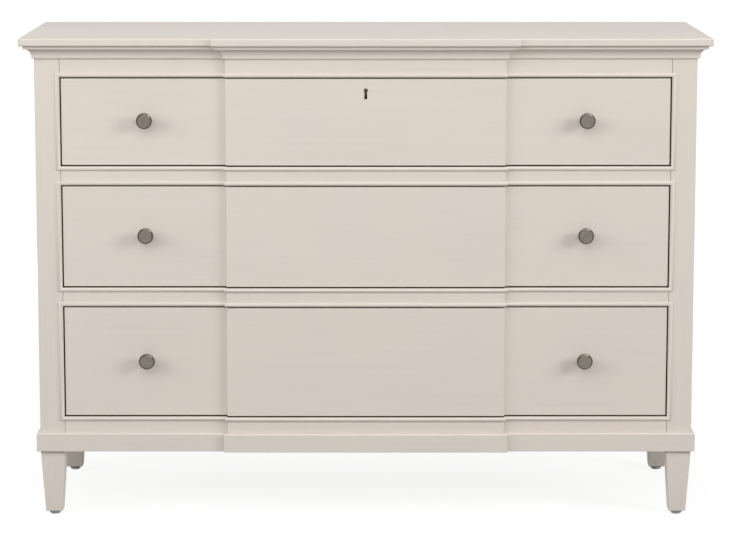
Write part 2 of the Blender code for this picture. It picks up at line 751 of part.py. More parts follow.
def make_drawer_front(name, body, bottom, top):
    outline = breakfront_outline(FRONT_X, FRONT_BACK_Y)
    front = add_plate(f"{name}_drawer_front", outline, bottom, top, PAINT, body)
    ease_edges(front, FRONT_EDGE)
    return front


def make_drawer_sides(name, body, front, bottom, top):
    seat_y = FRONT_BACK_Y - SIDE_DADO
    groove_z = bottom + GROOVE_RISE
    back_y = BOX_REAR_Y - DRAWER_BACK_INSET
    for label, side in SIDES.items():
        x_low, x_high = mirrored_span(side, SIDE_INNER_X, SIDE_OUTER_X)
        low = (x_low, seat_y, bottom)
        board = add_block(f"{name}_drawer_side_{label}", low, (x_high, BOX_REAR_Y, top), DRAWER_WOOD, body)
        low = (x_low - FIT, seat_y - FIT, bottom - FIT)
        cut_block(front, f"side_dado_{label}", low, (x_high + FIT, FRONT_BACK_Y + CUT_MARGIN, top + FIT))
        groove_low, groove_high = mirrored_span(side, SIDE_INNER_X - CUT_MARGIN, SIDE_INNER_X + GROOVE_DEPTH)
        low = (groove_low, seat_y - CUT_MARGIN, groove_z - FIT)
        high = (groove_high, BOX_REAR_Y + CUT_MARGIN, groove_z + DRAWER_BOTTOM_THICKNESS + FIT)
        cut_block(board, "bottom_groove", low, high)
        dado_low, dado_high = mirrored_span(side, SIDE_INNER_X - CUT_MARGIN, SIDE_INNER_X + DRAWER_BACK_DADO)
        low = (dado_low, back_y - DRAWER_BACK_THICKNESS - FIT, groove_z + FIT)
        cut_block(board, "back_dado", low, (dado_high, back_y + FIT, top + CUT_MARGIN))


def make_drawer_bottom(name, body, front, bottom):
    groove_z = bottom + GROOVE_RISE
    top = groove_z + DRAWER_BOTTOM_THICKNESS
    half_width = SIDE_INNER_X + GROOVE_DEPTH - FIT
    seat_y = FRONT_BACK_Y - GROOVE_DEPTH
    low = (-half_width, seat_y + FIT, groove_z)
    add_block(f"{name}_drawer_bottom", low, (half_width, BOX_REAR_Y, top), PANEL_BOARD, body)
    low = (-half_width - FIT, seat_y, groove_z - FIT)
    cut_block(front, "bottom_groove", low, (half_width + FIT, FRONT_BACK_Y + CUT_MARGIN, top + FIT))


def make_drawer_back(name, body, bottom, top):
    half_width = SIDE_INNER_X + DRAWER_BACK_DADO - FIT
    rear_y = BOX_REAR_Y - DRAWER_BACK_INSET
    lower = bottom + GROOVE_RISE + DRAWER_BOTTOM_THICKNESS + FIT
    low = (-half_width, rear_y - DRAWER_BACK_THICKNESS, lower)
    add_block(f"{name}_drawer_back", low, (half_width, rear_y, top), DRAWER_WOOD, body)


def make_knobs(name, body, front, height):
    hole_depth = KNOB_STUD_LENGTH + FIT
    for label, side in SIDES.items():
        place = (side * KNOB_X, FACE_Y, height)
        facing = (math.pi / 2, 0.0, 0.0)
        add_turned(f"{name}_knob_{label}", knob_profile(), KNOB_METAL, body, place, facing)
        hole = rod_mesh("knob_hole", KNOB_STUD_RADIUS + FIT, 2 * hole_depth)
        add_boolean(front, f"knob_hole_{label}", hole, place, facing)


def make_drawer(name, case, sill, head):
    front_bottom = sill + DRAWER_GAP
    front_top = head - DRAWER_GAP
    box_bottom = sill + SIDE_RISE
    box_top = head - SIDE_DROP
    middle = (front_bottom + front_top) / 2
    body = body_empty(f"{name}_drawer", (0.0, FACE_Y, middle))
    front = make_drawer_front(name, body, front_bottom, front_top)
    make_drawer_sides(name, body, front, box_bottom, box_top)
    make_drawer_bottom(name, body, front, box_bottom)
    make_drawer_back(name, body, box_bottom, box_top)
    make_knobs(name, body, front, middle + KNOB_RISE)
    slide_middle = (box_bottom + box_top) / 2
    for label, side in SIDES.items():
        add_slide(f"{name}_case_slide_{label}", case_slide_outline(), side, slide_middle, case)
        add_slide(f"{name}_drawer_slide_{label}", drawer_slide_outline(), side, slide_middle, body)
    return body, front


def make_lock(drawer, front):
    """Surface-mounted lock behind the upper front, with a bolt that rises behind the top rail."""
    lock_front = FRONT_BACK_Y + FIT
    cavity_back = BOLT_Y + BOLT_THICKNESS + FIT
    lock_back = cavity_back + LOCK_WALL
    low = (-LOCK_WIDTH / 2, lock_front, LOCK_BOTTOM)
    lock = add_block("lock_case", low, (LOCK_WIDTH / 2, lock_back, LOCK_TOP), LOCK_METAL, drawer)
    half_bolt = BOLT_WIDTH / 2
    low = (-half_bolt - FIT, BOLT_Y - FIT, LOCK_BOTTOM + LOCK_WALL)
    cut_block(lock, "bolt_way", low, (half_bolt + FIT, cavity_back, LOCK_TOP + CUT_MARGIN))

    facing = (math.pi / 2, 0.0, 0.0)
    through = lock_front - CENTRE_Y + CUT_MARGIN
    middle = (0.0, (CENTRE_Y + lock_front) / 2, KEYHOLE_Z)
    add_boolean(front, "keyhole", keyhole_mesh("keyhole", through), middle, facing)
    place = (0.0, BOLT_Y - CUT_MARGIN / 2, KEYHOLE_Z)
    add_boolean(lock, "keyhole", keyhole_mesh("lock_keyhole", CUT_MARGIN), place, facing)

    pin_front = CENTRE_Y + KEY_PIN_RECESS
    pin_back = lock_back - LOCK_WALL / 2
    pin = rod_mesh("key_pin", KEY_PIN_RADIUS, pin_back - pin_front)
    place = (0.0, (pin_front + pin_back) / 2, KEYHOLE_Z)
    add_boolean(lock, "key_pin", pin, place, facing, operation="UNION")

    guide = body_empty("lock_bolt_guide", (0.0, BOLT_Y + BOLT_THICKNESS / 2, BOLT_TOP))
    low = (-half_bolt, BOLT_Y, BOLT_BOTTOM)
    add_block("lock_bolt", low, (half_bolt, BOLT_Y + BOLT_THICKNESS, BOLT_TOP), LOCK_METAL, guide)


def main():
    case = body_empty("case", (0.0, 0.0, 0.0))
    make_top(case)
    make_cornice(case)
    make_posts(case)
    make_glides(case)
    make_rails(case)
    make_bead_frames(case)
    make_side_panels(case)
    make_back_panel(case)
    make_bottom_panel(case)
    make_base_moulding(case)
    for name, (sill, head) in OPENINGS.items():
        drawer, front = make_drawer(name, case, sill, head)
        if name == "upper":
            make_lock(drawer, front)


main()
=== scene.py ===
"""Looks of the breakfront dresser: finishes, fine pieces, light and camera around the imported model."""

import json
import math

import bmesh
import bpy
from mathutils import Matrix, Vector


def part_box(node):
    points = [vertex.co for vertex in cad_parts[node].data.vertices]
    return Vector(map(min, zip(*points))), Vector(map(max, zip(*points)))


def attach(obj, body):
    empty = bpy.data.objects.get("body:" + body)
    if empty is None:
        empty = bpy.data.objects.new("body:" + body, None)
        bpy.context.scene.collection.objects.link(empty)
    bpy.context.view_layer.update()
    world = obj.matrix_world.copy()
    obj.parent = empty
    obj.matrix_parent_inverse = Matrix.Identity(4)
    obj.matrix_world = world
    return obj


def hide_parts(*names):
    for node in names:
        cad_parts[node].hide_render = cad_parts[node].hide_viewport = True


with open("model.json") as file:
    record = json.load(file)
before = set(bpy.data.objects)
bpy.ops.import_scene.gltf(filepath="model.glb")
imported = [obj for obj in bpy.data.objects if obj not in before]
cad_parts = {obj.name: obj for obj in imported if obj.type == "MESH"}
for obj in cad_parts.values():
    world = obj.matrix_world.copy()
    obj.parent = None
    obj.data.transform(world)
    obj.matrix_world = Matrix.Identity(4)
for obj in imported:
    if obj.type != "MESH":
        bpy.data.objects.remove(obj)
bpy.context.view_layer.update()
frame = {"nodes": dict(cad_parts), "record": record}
NODES = frame["nodes"]
BODY_OF = {node: body for body, nodes in frame["record"]["behaviour"]["bodies"].items() for node in nodes}
DRAWERS = ("upper", "middle", "lower")
SIDES = {"left": -1, "right": 1}
ENDS = ("front", "rear")


# Node materials

EVEN = (1.0, 1.0, 1.0)


def along(axis, lengthwise, across):
    """Scale of a texture that is drawn out along one axis."""
    return tuple(lengthwise if name == axis else across for name in "xyz")


class Finish:
    """A node material under construction, with a Principled shader."""

    def __init__(self, name):
        self.material = bpy.data.materials.new(name)
        self.material.use_nodes = True
        self.tree = self.material.node_tree
        self.shader = self.tree.nodes["Principled BSDF"]

    def node(self, kind, **inputs):
        """Add a node and set its inputs by name; a socket given as a value is linked."""
        made = self.tree.nodes.new(kind)
        for key, value in inputs.items():
            self.feed(made.inputs[key.replace("_", " ")], value)
        return made

    def feed(self, socket, value):
        if isinstance(value, bpy.types.NodeSocket):
            self.tree.links.new(value, socket)
        else:
            socket.default_value = value

    def set(self, name, value):
        self.feed(self.shader.inputs[name], value)

    def vector(self, operation, *values):
        """Vector Math node of an operation on the given values."""
        made = self.node("ShaderNodeVectorMath")
        made.operation = operation
        for socket, value in zip(made.inputs, values):
            self.feed(socket, value)
        return made

    def coordinates(self):
        return self.node("ShaderNodeTexCoord").outputs["Object"]

    def length(self, vector):
        return self.vector("LENGTH", vector).outputs["Value"]

    def place(self, scale, offset=0.0):
        """Object coordinates stretched by a scale, moved along by a different amount for each piece."""
        chance = self.node("ShaderNodeObjectInfo").outputs["Random"]
        shifted = self.vector("MULTIPLY_ADD", (offset, offset, offset), chance, self.coordinates())
        return self.node("ShaderNodeMapping", Vector=shifted.outputs[0], Scale=scale).outputs[0]

    def noise(self, vector, scale, detail=3.0, roughness=0.55, distortion=0.0):
        made = self.node(
            "ShaderNodeTexNoise", Vector=vector, Scale=scale, Detail=detail, Roughness=roughness,
            Distortion=distortion,
        )
        return made.outputs["Fac"]

    def remap(self, value, low=0.3, high=0.7, to_low=0.0, to_high=1.0):
        """Value carried from one range to another; the first is by default what most of a noise fills."""
        made = self.node("ShaderNodeMapRange", Value=value)
        for name, number in zip(("From Min", "From Max", "To Min", "To Max"), (low, high, to_low, to_high)):
            made.inputs[name].default_value = number
        return made.outputs["Result"]

    def mix(self, factor, first, second):
        made = self.tree.nodes.new("ShaderNodeMix")
        made.data_type = "RGBA"
        self.feed(made.inputs[0], factor)
        self.feed(made.inputs[6], first)
        self.feed(made.inputs[7], second)
        return made.outputs[2]

    def math(self, operation, first, second=0.0):
        made = self.tree.nodes.new("ShaderNodeMath")
        made.operation = operation
        self.feed(made.inputs[0], first)
        self.feed(made.inputs[1], second)
        return made.outputs[0]

    def bump(self, height, depth, normal=None):
        """Normal of a surface that a height between 0 and 1 raises by a depth in metres."""
        made = self.node("ShaderNodeBump", Height=height, Distance=depth, Strength=1.0)
        if normal is not None:
            self.feed(made.inputs["Normal"], normal)
        return made.outputs["Normal"]


PAINT_STREAKS = ((0.705, 0.640, 0.575, 1), (0.735, 0.670, 0.605, 1))
PAINT_CLOUD = (0.742, 0.668, 0.597, 1)
PAINT_GRAIN_ACROSS = 40.0
PAINT_SKIN_DEPTH = 0.00003
PAINT_PORE_DEPTH = 0.00006


def paint(axis):
    """Satin cream lacquer over wood, with the grain faintly telegraphing through along one axis."""
    finish = Finish(f"satin_paint_{axis}")
    grain_place = finish.place(along(axis, 1.0, PAINT_GRAIN_ACROSS), offset=7.0)
    streaks = finish.noise(grain_place, scale=3.0, detail=5.0, roughness=0.6)
    pores = finish.noise(grain_place, scale=14.0, detail=2.0)
    cloud = finish.noise(finish.place(EVEN, offset=5.0), scale=4.0, detail=2.0)
    tone = finish.mix(finish.remap(streaks), *PAINT_STREAKS)
    tone = finish.mix(finish.remap(cloud, 0.35, 0.65, to_high=0.5), tone, PAINT_CLOUD)
    finish.set("Base Color", tone)
    finish.set("Roughness", finish.remap(cloud, to_low=0.40, to_high=0.50))
    skin = finish.noise(finish.place(EVEN), scale=700.0, detail=1.0)
    normal = finish.bump(skin, PAINT_SKIN_DEPTH)
    finish.set("Normal", finish.bump(pores, PAINT_PORE_DEPTH, normal))
    return finish.material


WOOD_GRAIN_ACROSS = 40.0
WOOD_RINGS = (0.5, 6.0)      # stretch of the growth rings, lengthwise and across
WOOD_RING_LINES = 9.0
WOOD_PORE_SHADE = 0.6        # of the dark tone
WOOD_PORE_DEPTH = 0.00012


def wood(name, axis, light, dark, ring_scale):
    """Clear-sealed bare wood with growth rings and pores along one axis."""
    finish = Finish(name)
    grain_place = finish.place(along(axis, 1.0, WOOD_GRAIN_ACROSS), offset=9.0)
    ring_place = finish.place(along(axis, *WOOD_RINGS), offset=9.0)
    rings = finish.noise(ring_place, ring_scale, detail=2.0, distortion=0.4)
    lines = finish.math("FRACT", finish.math("MULTIPLY", rings, WOOD_RING_LINES))
    soft_lines = finish.math("PINGPONG", lines, 0.5)
    pores = finish.noise(grain_place, scale=9.0, detail=4.0, roughness=0.65)
    pore_tone = tuple(WOOD_PORE_SHADE * part for part in dark[:3]) + (1,)
    tone = finish.mix(finish.remap(soft_lines, 0.0, 0.5), dark, light)
    tone = finish.mix(finish.remap(pores, 0.52, 0.75, to_high=0.55), tone, pore_tone)
    finish.set("Base Color", tone)
    finish.set("Roughness", finish.remap(pores, to_low=0.45, to_high=0.62))
    finish.set("Normal", finish.bump(pores, WOOD_PORE_DEPTH))
    return finish.material


BRUSHED_ACROSS = 160.0
BRUSHED_DEPTH = 0.00002


def metal(name, axis, colour, dark, roughness):
    """Metal with fine brushing along one axis, patchy tarnish and uneven gloss."""
    finish = Finish(name)
    brush_place = finish.place(along(axis, 1.0, BRUSHED_ACROSS), offset=3.0)
    brushing = finish.noise(brush_place, scale=12.0, detail=2.0)
    tarnish = finish.noise(finish.place(EVEN, offset=3.0), scale=60.0, detail=4.0, roughness=0.6)
    finish.set("Base Color", finish.mix(finish.remap(tarnish, 0.4, 0.75), colour, dark))
    finish.set("Metallic", 1.0)
    finish.set("Roughness", finish.remap(brushing, to_low=roughness - 0.05, to_high=roughness + 0.08))
    finish.set("Normal", finish.bump(brushing, BRUSHED_DEPTH))
    return finish.material


PEWTER_FACE = (0.230, 0.208, 0.182, 1)
# darker rim colour: painted shade that stands in for the dark reflections along the rim
PEWTER_SHADED_RIM = (0.118, 0.104, 0.088, 1)
PEWTER_TARNISH = (0.10, 0.088, 0.072, 1)
PEWTER_RIM_STARTS = (0.0128, 0.0132)     # radii between which the face gives way to the rim
PEWTER_FACE_ROUGHNESS = 0.42
PEWTER_RIM_ROUGHNESS = 0.24
PEWTER_RING_DEPTH = 0.00001


def pewter():
    """Turned knob metal: satin face with fine rings, and a glossier rim whose darker colour is painted shade
    for its dark reflections.
    """
    finish = Finish("aged_pewter_with_shaded_rim")
    radius = finish.length(finish.vector("MULTIPLY", finish.coordinates(), (1.0, 1.0, 0.0)).outputs[0])
    rings = finish.noise(radius, scale=2600.0, detail=2.0)
    tarnish = finish.noise(finish.place(EVEN, offset=3.0), scale=220.0, detail=4.0, roughness=0.6)
    rim = finish.remap(radius, *PEWTER_RIM_STARTS)
    tone = finish.mix(rim, PEWTER_FACE, PEWTER_SHADED_RIM)
    tone = finish.mix(finish.remap(tarnish, 0.45, 0.75, to_high=0.6), tone, PEWTER_TARNISH)
    finish.set("Base Color", tone)
    finish.set("Metallic", 1.0)
    gloss = finish.remap(rim, 0.0, 1.0, PEWTER_FACE_ROUGHNESS, PEWTER_RIM_ROUGHNESS)
    uneven = finish.remap(rings, to_low=-0.04, to_high=0.05)
    finish.set("Roughness", finish.math("ADD", gloss, uneven))
    finish.set("Normal", finish.bump(rings, PEWTER_RING_DEPTH))
    return finish.material


NYLON_TONES = ((0.50, 0.50, 0.47, 1), (0.60, 0.60, 0.57, 1))
NYLON_SCUFF_DEPTH = 0.00005


def nylon():
    """Moulded grey glide, slightly scuffed."""
    finish = Finish("glide_nylon")
    scuff = finish.noise(finish.place(EVEN, offset=2.0), scale=180.0, detail=4.0)
    finish.set("Base Color", finish.mix(finish.remap(scuff, 0.4, 0.7), *NYLON_TONES))
    finish.set("Roughness", finish.remap(scuff, to_low=0.45, to_high=0.65))
    finish.set("Normal", finish.bump(scuff, NYLON_SCUFF_DEPTH))
    return finish.material


PAINT = {axis: paint(axis) for axis in "xyz"}
MAPLE = {
    axis: wood(
        f"drawer_maple_{axis}", axis, light=(0.66, 0.50, 0.33, 1), dark=(0.55, 0.39, 0.23, 1), ring_scale=2.2,
    )
    for axis in "xy"
}
# Bare wood inside the case, stained very dark: it also paints the shade inside the drawer gaps and the
# keyhole
BARE_WOOD_AND_GAP_SHADE = wood(
    "stained_inner_wood_and_gap_shade", "z", light=(0.13, 0.085, 0.052, 1), dark=(0.085, 0.053, 0.031, 1), ring_scale=2.0,
)
PLYWOOD = wood(
    "birch_plywood", "x", light=(0.60, 0.47, 0.32, 1), dark=(0.50, 0.37, 0.23, 1), ring_scale=1.3,
)
ZINC = metal(
    "zinc_plated_steel", "y", colour=(0.62, 0.63, 0.64, 1), dark=(0.46, 0.47, 0.48, 1), roughness=0.30,
)
BRASS = metal("aged_brass", "z", colour=(0.44, 0.35, 0.22, 1), dark=(0.19, 0.15, 0.10, 1), roughness=0.40)
PEWTER = pewter()
NYLON = nylon()


# Dressed copies of CAD nodes

WELD = 0.00001
FLAT_ANGLE = math.radians(0.5)
SMOOTH_ANGLE = math.radians(40)
EASE_SEGMENTS = 2
PAINT_EASE = 0.0006
WOOD_EASE = 0.0008
METAL_EASE = 0.0003
LOCK_EASE = 0.0008


def new_piece(name, bm, material, body, place=(0, 0, 0), turn=(0, 0, 0)):
    """A mesh as one smooth-shaded piece riding on a body."""
    mesh = bpy.data.meshes.new(name)
    bm.to_mesh(mesh)
    bm.free()
    mesh.materials.append(material)
    mesh.shade_smooth()
    mesh.set_sharp_from_angle(angle=SMOOTH_ANGLE)
    piece = bpy.data.objects.new(name, mesh)
    piece.location = place
    piece.rotation_euler = turn
    bpy.context.scene.collection.objects.link(piece)
    weighted = piece.modifiers.new("flat_faces_lead", "WEIGHTED_NORMAL")
    weighted.keep_sharp = True
    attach(piece, body)
    return piece


def dress(node, material, ease=0.0, unpainted=None):
    """Welded, smooth-shaded copy of a CAD node with its sharp outward edges eased.

    unpainted(middle, normal) gives the material of a face that isn't finished like the rest, or None.
    """
    bm = bmesh.new()
    bm.from_mesh(NODES[node].data)
    bmesh.ops.remove_doubles(bm, verts=bm.verts, dist=WELD)
    bmesh.ops.dissolve_limit(bm, angle_limit=FLAT_ANGLE, verts=bm.verts, edges=bm.edges)
    if ease:
        sharp = [edge for edge in bm.edges if edge.calc_face_angle_signed(0.0) > SMOOTH_ANGLE]
        bmesh.ops.bevel(
            bm, geom=sharp, offset=ease, offset_type="OFFSET", segments=EASE_SEGMENTS, profile=0.5,
            affect="EDGES", clamp_overlap=True,
        )
    choices = [unpainted and unpainted(face.calc_center_median(), face.normal) for face in bm.faces]
    piece = new_piece(f"{node}_finished", bm, material, BODY_OF[node])
    others = [choice for choice in dict.fromkeys(choices) if choice]
    for other in others:
        piece.data.materials.append(other)
    numbers = [others.index(choice) + 1 if choice else 0 for choice in choices]
    piece.data.polygons.foreach_set("material_index", numbers)
    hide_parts(node)


RAILS = ("top_rail", "upper_divider_rail", "lower_divider_rail", "bottom_rail")
SIDE_PANELS = ("side_panel_left", "side_panel_right")
SIDE_CORNICES = ("cornice_left", "cornice_right")
PAINTED = {                  # by the direction of the grain
    "x": (
        "top_panel", "cornice_front", *RAILS, "base_moulding",
        *(f"{name}_drawer_front" for name in DRAWERS), *(f"{name}_bead_frame" for name in DRAWERS),
    ),
    "y": SIDE_CORNICES,
    "z": (*SIDE_PANELS, *(f"post_{end}_{side}" for end in ENDS for side in SIDES)),
}
EASED = (*RAILS, "cornice_front", *SIDE_CORNICES, "base_moulding", *SIDE_PANELS)
FACING = 0.9                 # cosine above which a face looks along an axis
INNER_Y = 0.2
CASE_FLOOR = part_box("base_moulding")[0].z
FRONT_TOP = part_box("upper_drawer_front")[1].z
KEYHOLE_REACH = 0.006
KEYHOLE_BAND = (0.010, 0.045)    # below the front's upper edge


def faces_inwards(middle, normal):
    """Whether a face looks across the case towards its middle."""
    return normal.x * math.copysign(1, middle.x) < -FACING


def rail_inside(middle, normal):
    """Bare upper and lower faces, which the drawers run past, stained dark so that they also paint the shade
    inside the drawer gaps.
    """
    return BARE_WOOD_AND_GAP_SHADE if abs(normal.z) > FACING else None


def post_inside(middle, normal):
    """Bare faces that look into the case, stained dark so that those showing in the drawer gaps also paint
    the shade there.
    """
    between_posts = abs(normal.y) > FACING and abs(middle.y) < INNER_Y
    inside = faces_inwards(middle, normal) or between_posts
    return BARE_WOOD_AND_GAP_SHADE if inside and middle.z > CASE_FLOOR else None


def panel_inside(middle, normal):
    return BARE_WOOD_AND_GAP_SHADE if faces_inwards(middle, normal) else None


def front_inside(middle, normal):
    """Sealed back of a drawer's front, and the walls of the keyhole in dark bare wood, which paints the shade
    inside the hole.
    """
    if normal.y > FACING:
        return MAPLE["x"]
    drop = FRONT_TOP - middle.z
    near_keyhole = abs(middle.x) < KEYHOLE_REACH and KEYHOLE_BAND[0] < drop < KEYHOLE_BAND[1]
    # the keyhole's walls get the dark wood as painted shade inside the hole
    return BARE_WOOD_AND_GAP_SHADE if near_keyhole and abs(normal.y) < 1 - FACING else None


UNPAINTED = {"rail": rail_inside, "post": post_inside, "side": panel_inside, "drawer": front_inside}


def paint_case_and_fronts():
    for axis, nodes in PAINTED.items():
        for node in nodes:
            unpainted = next((test for word, test in UNPAINTED.items() if word in node.split("_")), None)
            dress(node, PAINT[axis], ease=PAINT_EASE if node in EASED else 0.0, unpainted=unpainted)


def finish_inside():
    """Bare wood, plywood and hardware that show when a drawer is open or from behind."""
    for name in DRAWERS:
        for side in SIDES:
            dress(f"{name}_drawer_side_{side}", MAPLE["y"], ease=WOOD_EASE)
            dress(f"{name}_case_slide_{side}", ZINC, ease=METAL_EASE)
            dress(f"{name}_drawer_slide_{side}", ZINC, ease=METAL_EASE)
        dress(f"{name}_drawer_back", MAPLE["x"], ease=WOOD_EASE)
        dress(f"{name}_drawer_bottom", PLYWOOD)
    dress("back_panel", PLYWOOD, ease=PAINT_EASE)
    dress("bottom_panel", PLYWOOD, ease=PAINT_EASE)
    dress("lock_case", BRASS, ease=LOCK_EASE)
    dress("lock_bolt", BRASS, ease=METAL_EASE)


# Turned pieces

TURNED_SEGMENTS = 72
TURNED_WELD = 0.000001
ROUNDING_STEPS = 6
FACING_FRONT = (math.pi / 2, 0.0, 0.0)
KNOB_PROJECTION = 0.027
KNOB_CORNERS = (             # radius, height from the drawer's face and rounding, in millimetres
    (0.0, 26.8, 0.0),
    (9.4, 26.8, 0.5),
    (10.0, 27.0, 0.3),
    (12.7, 27.0, 0.2),
    (12.9, 26.4, 0.15),
    (13.3, 26.4, 0.15),
    (13.5, 26.6, 0.2),
    (15.5, 25.2, 1.0),
    (16.0, 23.6, 0.8),
    (16.0, 21.0, 1.2),
    (14.2, 18.6, 1.2),
    (8.8, 17.6, 2.5),
    (5.5, 9.0, 3.0),
    (6.6, 3.6, 1.6),
    (8.5, 1.6, 0.4),
    (8.5, 0.1, 0.0),
    (1.9, 0.1, 0.0),
    (1.9, -13.9, 0.0),
    (0.0, -13.9, 0.0),
)
GLIDE_CORNERS = (            # radius, height from the floor and rounding, in millimetres
    (0.0, 19.7, 0.0),
    (1.6, 19.7, 0.0),
    (1.6, 7.7, 0.0),
    (12.0, 7.7, 0.5),
    (12.0, 4.0, 1.6),
    (9.0, 0.0, 1.0),
    (0.0, 0.0, 0.0),
)


def rounded(corners):
    """Outline through (radius, height, rounding) corners, cut back by the rounding on both sides."""
    outline = []
    for index, (*place, rounding) in enumerate(corners):
        here = Vector(place)
        if not rounding:
            outline.append(here)
            continue
        ways = [(Vector(corners[index + step][:2]) - here).normalized() for step in (-1, 1)]
        before, after = (here + rounding * way for way in ways)
        for step in range(ROUNDING_STEPS + 1):
            t = step / ROUNDING_STEPS
            outline.append((1 - t) ** 2 * before + 2 * t * (1 - t) * here + t ** 2 * after)
    return outline


def turned_mesh(corners, segments=TURNED_SEGMENTS):
    """Solid of revolution round local Z, as a bmesh in metres."""
    bm = bmesh.new()
    verts = [bm.verts.new((radius / 1000, 0.0, height / 1000)) for radius, height in rounded(corners)]
    edges = [bm.edges.new(pair) for pair in zip(verts, verts[1:])]
    bmesh.ops.spin(
        bm, geom=verts + edges, cent=(0, 0, 0), axis=(0, 0, 1), angle=2 * math.pi, steps=segments,
        use_merge=True,
    )
    bmesh.ops.remove_doubles(bm, verts=bm.verts, dist=TURNED_WELD)
    bmesh.ops.recalc_face_normals(bm, faces=bm.faces)
    return bm


def make_knobs():
    for name in DRAWERS:
        for side in SIDES:
            node = f"{name}_knob_{side}"
            low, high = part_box(node)
            place = ((low.x + high.x) / 2, low.y + KNOB_PROJECTION, (low.z + high.z) / 2)
            knob = new_piece(
                f"{node}_turned", turned_mesh(KNOB_CORNERS), PEWTER, BODY_OF[node], place,
                FACING_FRONT,
            )
            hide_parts(node)


def make_glides():
    for end in ENDS:
        for side in SIDES:
            node = f"glide_{end}_{side}"
            low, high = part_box(node)
            place = ((low.x + high.x) / 2, (low.y + high.y) / 2, low.z)
            glide = new_piece(
                f"{node}_moulded", turned_mesh(GLIDE_CORNERS), NYLON, BODY_OF[node], place,
            )
            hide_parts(node)


# Screws

SCREW_CORNERS = (            # radius, height above the seat and rounding, in millimetres
    (0.0, 2.1, 0.0),
    (2.4, 2.0, 0.8),
    (4.0, 0.9, 0.7),
    (4.0, -0.2, 0.0),
    (0.0, -0.2, 0.0),
)
SCREW_SEGMENTS = 28
SCREW_TOP = 0.0021
SCREW_SPIN = 1.1             # each head is left at a different angle
RECESS_LENGTH = 0.0042
RECESS_WIDTH = 0.0009
RECESS_DEPTH = 0.0014
SLIDE_SCREWS = (0.12, 0.46, 0.88)    # shares of a slide's length
CHANNEL_WALL = 0.0014
BACK_SCREW_INSET = 0.007
BACK_SCREW_COLUMNS = 7
BACK_SCREW_ROWS = 4
LOCK_SCREW_INSET = 0.0075


def applied(piece):
    """Mesh of a piece with its modifiers applied; the piece is removed."""
    bpy.context.view_layer.update()
    evaluated = piece.evaluated_get(bpy.context.evaluated_depsgraph_get())
    mesh = bpy.data.meshes.new_from_object(evaluated)
    bpy.data.objects.remove(piece)
    return mesh


def loose(name, bm):
    """Working object that isn't part of the finished dresser."""
    mesh = bpy.data.meshes.new(name)
    bm.to_mesh(mesh)
    bm.free()
    piece = bpy.data.objects.new(name, mesh)
    bpy.context.scene.collection.objects.link(piece)
    return piece


def screw_mesh():
    """Pan head with a cross recess, seated on local Z = 0."""
    head = loose("screw_head", turned_mesh(SCREW_CORNERS, SCREW_SEGMENTS))
    cutters = []
    for angle in (0.0, math.pi / 2):
        bm = bmesh.new()
        bmesh.ops.create_cube(bm, size=1.0)
        bmesh.ops.scale(bm, vec=(RECESS_LENGTH, RECESS_WIDTH, 2 * RECESS_DEPTH), verts=bm.verts)
        bmesh.ops.rotate(bm, verts=bm.verts, cent=(0, 0, 0), matrix=Matrix.Rotation(angle, 3, "Z"))
        bmesh.ops.translate(bm, verts=bm.verts, vec=(0, 0, SCREW_TOP))
        cutter = loose("recess", bm)
        cut = head.modifiers.new("recess", "BOOLEAN")
        cut.object = cutter
        cutters.append(cutter)
    mesh = applied(head)
    for cutter in cutters:
        bpy.data.objects.remove(cutter)
    return mesh


SCREW = screw_mesh()


def screws(name, places, facing, material, body):
    """Screw heads at the given places, turned towards one direction, as one piece."""
    bm = bmesh.new()
    turn = Vector(facing).to_track_quat("Z", "Y").to_matrix().to_4x4()
    for count, place in enumerate(places):
        spin = Matrix.Rotation(SCREW_SPIN * count, 4, "Z")
        first = len(bm.verts)
        bm.from_mesh(SCREW)
        bm.verts.ensure_lookup_table()
        bmesh.ops.transform(bm, matrix=Matrix.Translation(place) @ turn @ spin, verts=bm.verts[first:])
    new_piece(name, bm, material, body)


def fix_slides():
    """Screw heads inside both members of every slide."""
    for name in DRAWERS:
        for side, sign in SIDES.items():
            for member, inward in (("case", True), ("drawer", False)):
                node = f"{name}_{member}_slide_{side}"
                low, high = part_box(node)
                outer, inner = (low.x, high.x) if sign < 0 else (high.x, low.x)
                web = outer - sign * CHANNEL_WALL if inward else inner + sign * CHANNEL_WALL
                facing = (-sign, 0, 0) if inward else (sign, 0, 0)
                middle = (low.z + high.z) / 2
                places = [(web, low.y + share * (high.y - low.y), middle) for share in SLIDE_SCREWS]
                screws(f"{node}_screws", places, facing, ZINC, BODY_OF[node])


def fix_back():
    """Screw heads along all four edges of the back panel."""
    low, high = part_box("back_panel")
    left, right = low.x + BACK_SCREW_INSET, high.x - BACK_SCREW_INSET
    bottom, top = low.z + BACK_SCREW_INSET, high.z - BACK_SCREW_INSET
    places = []
    for column in range(BACK_SCREW_COLUMNS):
        x = left + (right - left) * column / (BACK_SCREW_COLUMNS - 1)
        places += [(x, high.y, bottom), (x, high.y, top)]
    for row in range(1, BACK_SCREW_ROWS - 1):
        z = bottom + (top - bottom) * row / (BACK_SCREW_ROWS - 1)
        places += [(left, high.y, z), (right, high.y, z)]
    screws("back_panel_screws", places, (0, 1, 0), ZINC, "case")


def fix_lock():
    """Screw heads in the four corners of the lock's case."""
    low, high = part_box("lock_case")
    places = [
        (x, high.y, z)
        for x in (low.x + LOCK_SCREW_INSET, high.x - LOCK_SCREW_INSET)
        for z in (low.z + LOCK_SCREW_INSET, high.z - LOCK_SCREW_INSET)
    ]
    screws("lock_case_screws", places, (0, 1, 0), BRASS, BODY_OF["lock_case"])


# Floor, light and camera

